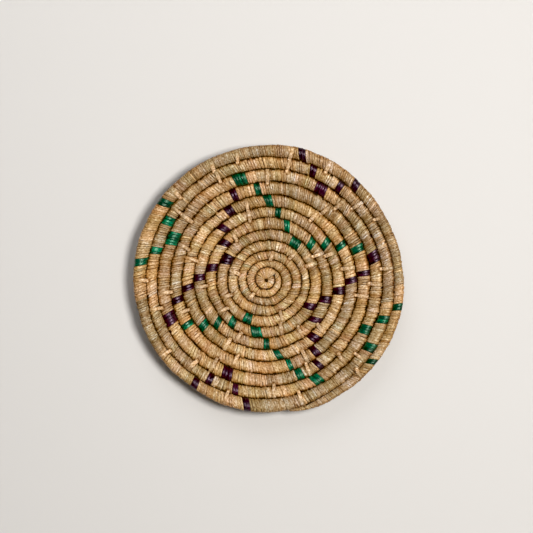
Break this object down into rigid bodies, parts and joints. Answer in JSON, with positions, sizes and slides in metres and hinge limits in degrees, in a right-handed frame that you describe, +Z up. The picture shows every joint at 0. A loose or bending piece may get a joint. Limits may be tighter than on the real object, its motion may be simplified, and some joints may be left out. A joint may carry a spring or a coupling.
{
  "type": "wall basket",
  "caption": "Round, shallow coiled wall basket: a wrapped cord wound in a spiral, with coloured star bands and a hanging loop behind.",
  "frame": {"origin": "centre of the back face of the centre button, on the wall", "axes": "+Z up as the basket hangs, +X right as seen from the front, +Y out of the flat back into the wall; the hollow front faces -Y"},
  "size_m": [0.2987, 0.0346, 0.2956],
  "materials": {
    "natural_strand": "satin",
    "green_strand": "satin",
    "purple_strand": "satin",
    "core_fibre": "matte"
  },
  "bodies": {
    "basket": {"core_coil": "core_fibre", "centre_button": "natural_strand", "natural_wrap_turn_1": "natural_strand", "natural_wrap_turn_2": "natural_strand", "natural_wrap_turn_3": "natural_strand", "natural_wrap_turn_4": "natural_strand", "natural_wrap_turn_5": "natural_strand", "natural_wrap_turn_6": "natural_strand", "natural_wrap_turn_7": "natural_strand", "natural_wrap_turn_8": "natural_strand", "natural_wrap_turn_9": "natural_strand", "natural_wrap_turn_10": "natural_strand", "natural_wrap_turn_11": "natural_strand", "tail_wrap": "natural_strand", "tail_binding": "natural_strand", "green_star_upper_right_turn_5": "green_strand", "green_star_upper_right_turn_6": "green_strand", "green_star_upper_right_turn_7": "green_strand", "green_star_upper_right_turn_8": "green_strand", "green_star_upper_right_turn_9": "green_strand", "purple_star_lower_right_turn_5": "purple_strand", "purple_star_lower_right_turn_6": "purple_strand", "purple_star_lower_right_turn_7": "purple_strand", "purple_star_lower_right_turn_8": "purple_strand", "purple_star_lower_right_turn_9": "purple_strand", "green_star_lower_left_turn_5": "green_strand", "green_star_lower_left_turn_6": "green_strand", "green_star_lower_left_turn_7": "green_strand", "green_star_lower_left_turn_8": "green_strand", "green_star_lower_left_turn_9": "green_strand", "green_star_lower_left_turn_10": "green_strand", "purple_star_upper_left_turn_5": "purple_strand", "purple_star_upper_left_turn_6": "purple_strand", "purple_star_upper_left_turn_7": "purple_strand", "purple_star_upper_left_turn_8": "purple_strand", "purple_star_upper_left_turn_9": "purple_strand", "purple_rim_upper_right_turn_10": "purple_strand", "purple_rim_upper_right_turn_11": "purple_strand", "purple_rim_upper_right_turn_12": "purple_strand", "green_rim_lower_right_turn_10": "green_strand", "green_rim_lower_right_turn_11": "green_strand", "green_rim_lower_right_turn_12": "green_strand", "purple_rim_lower_left_turn_10": "purple_strand", "purple_rim_lower_left_turn_11": "purple_strand", "purple_rim_lower_left_turn_12": "purple_strand", "green_rim_upper_left_turn_10": "green_strand", "green_rim_upper_left_turn_11": "green_strand", "green_rim_upper_left_turn_12": "green_strand", "loop_stitch_left": "natural_strand", "loop_stitch_right": "natural_strand"},
    "loop": {"hanging_loop": "natural_strand"}
  },
  "joints": [
    {"name": "loop_swing", "type": "hinge", "parent": "basket", "child": "loop", "pos_m": [0, -0.00699, 0.1194], "axis": [-1, 0, 0], "range_deg": [-12, 160]}
  ]
}
